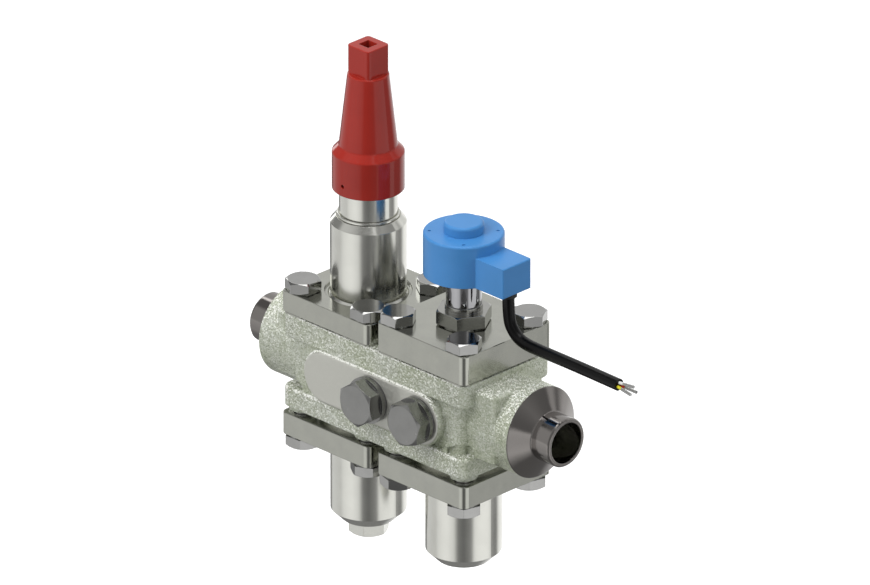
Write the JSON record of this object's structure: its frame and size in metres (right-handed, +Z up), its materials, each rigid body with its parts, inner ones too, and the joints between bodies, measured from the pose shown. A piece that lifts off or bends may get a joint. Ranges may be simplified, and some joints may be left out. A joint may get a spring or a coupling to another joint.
{
  "type": "refrigeration control valve",
  "caption": "Refrigeration valve station: zinc plated casting with weld ends, hand stop valve with red cap, solenoid valve with blue coil, strainer and check valve.",
  "frame": {"origin": "centre of the inlet's weld face, on the pipe's axis", "axes": "+X along the flow from inlet to outlet, +Z up along the stop valve's spindle"},
  "size_m": [0.2687, 0.0788, 0.2785],
  "materials": {
    "zinc_casting": "yellow passivated zinc on a sand casting, rough",
    "zinc_cover": "zinc plated milled steel, satin",
    "zinc_bolt": "bright zinc plated bolt steel",
    "turned_steel": "fine turned steel, polished",
    "armature_chrome": "polished stainless steel",
    "dark_nut": "dark phosphated steel",
    "red_plastic": "glossy moulded plastic",
    "blue_plastic": "satin moulded plastic",
    "black_rubber": "black rubber",
    "cable_sheath": "black cable sheath, satin",
    "core_red": "insulated core",
    "core_yellow": "insulated core",
    "core_white": "insulated core",
    "gasket_fibre": "compressed fibre gasket",
    "seal_ptfe": "filled fluoropolymer",
    "stainless": "stainless steel, turned",
    "spring_steel": "spring wire",
    "stainless_mesh": "woven stainless mesh",
    "brass_bush": "turned brass",
    "aluminium_washer": "soft aluminium sealing washer",
    "copper_winding": "enamelled copper wire",
    "bobbin_plastic": "glass filled plastic",
    "yoke_iron": "soft iron"
  },
  "bodies": {
    "valve_body": {"body_casting": "zinc_casting", "stop_cover_plate": "zinc_cover", "stop_housing": "turned_steel", "stop_cover_gasket": "gasket_fibre", "stop_cover_bolts": "zinc_bolt", "stop_seat_bush": "stainless", "stop_packing": "seal_ptfe", "stop_packing_gland": "zinc_bolt", "solenoid_cover": "zinc_cover", "solenoid_gasket": "gasket_fibre", "solenoid_cover_bolts": "zinc_bolt", "solenoid_seat_bush": "brass_bush", "piston_spring": "spring_steel", "armature_tube": "armature_chrome", "armature_nut": "dark_nut", "armature_spring": "spring_steel", "pilot_seat": "brass_bush", "strainer_barrel": "turned_steel", "strainer_cover_plate": "zinc_cover", "strainer_gasket": "gasket_fibre", "strainer_cover_bolts": "zinc_bolt", "strainer_element": "stainless_mesh", "drain_plug": "zinc_cover", "drain_plug_washer": "aluminium_washer", "check_barrel": "turned_steel", "check_cover_plate": "zinc_cover", "check_gasket": "gasket_fibre", "check_cover_bolts": "zinc_bolt", "check_seat_ring": "stainless", "check_guide": "brass_bush", "check_spring": "spring_steel", "port_plugs": "zinc_bolt", "port_plug_washers": "aluminium_washer"},
    "stop_cone": {"stop_valve_cone": "stainless", "stop_cone_seal": "seal_ptfe"},
    "stop_spindle": {"stop_spindle": "stainless"},
    "cap_seal": {"stop_cap_seal": "black_rubber"},
    "cap": {"stop_cap": "red_plastic"},
    "piston": {"servo_piston": "stainless", "piston_ring": "seal_ptfe"},
    "armature": {"armature": "stainless"},
    "check_cone": {"check_cone": "stainless", "check_cone_seal": "seal_ptfe"},
    "coil": {"coil_housing": "blue_plastic", "coil_bobbin": "bobbin_plastic", "coil_winding": "copper_winding", "coil_yoke": "yoke_iron", "coil_lock_cap": "blue_plastic", "coil_oring": "black_rubber", "cable_grommet": "black_rubber", "coil_cable": "cable_sheath", "cable_core_red": "core_red", "cable_core_yellow": "core_yellow", "cable_core_white": "core_white"}
  },
  "joints": [
    {"name": "stop_rise", "type": "slide", "parent": "valve_body", "child": "stop_cone", "axis": [0, 0, 1], "range_m": [0, 0.008]},
    {"name": "stop_spindle_turn", "type": "hinge", "parent": "stop_cone", "child": "stop_spindle", "pos_m": [0.075, 0, 0.1], "axis": [0, 0, 1], "range_deg": [0, 1440]},
    {"name": "cap_rise", "type": "slide", "parent": "valve_body", "child": "cap_seal", "axis": [0, 0, 1], "range_m": [0, 0.012]},
    {"name": "cap_turn", "type": "hinge", "parent": "cap_seal", "child": "cap", "pos_m": [0.075, 0, 0.11], "axis": [0, 0, 1], "range_deg": [0, 2160]},
    {"name": "piston_lift", "type": "slide", "parent": "valve_body", "child": "piston", "axis": [0, 0, 1], "range_m": [0, 0.004], "stiffness_N_per_m": 300, "springref_m": -0.01, "deforming": ["piston_spring"]},
    {"name": "armature_lift", "type": "slide", "parent": "valve_body", "child": "armature", "axis": [0, 0, 1], "range_m": [0, 0.0015], "stiffness_N_per_m": 400, "springref_m": -0.005, "deforming": ["armature_spring"]},
    {"name": "check_open", "type": "slide", "parent": "valve_body", "child": "check_cone", "axis": [0, 0, -1], "range_m": [0, 0.008], "stiffness_N_per_m": 250, "springref_m": -0.012, "deforming": ["check_spring"]},
    {"name": "coil_turn", "type": "hinge", "parent": "valve_body", "child": "coil", "pos_m": [0.145, 0, 0.08], "axis": [0, 0, 1], "range_deg": [-18, 18]}
  ],
  "couplings": [
    {"joint": "stop_spindle_turn", "follows": "stop_rise", "rad_per_m": 3141.6},
    {"joint": "cap_turn", "follows": "cap_rise", "rad_per_m": 3141.6}
  ]
}
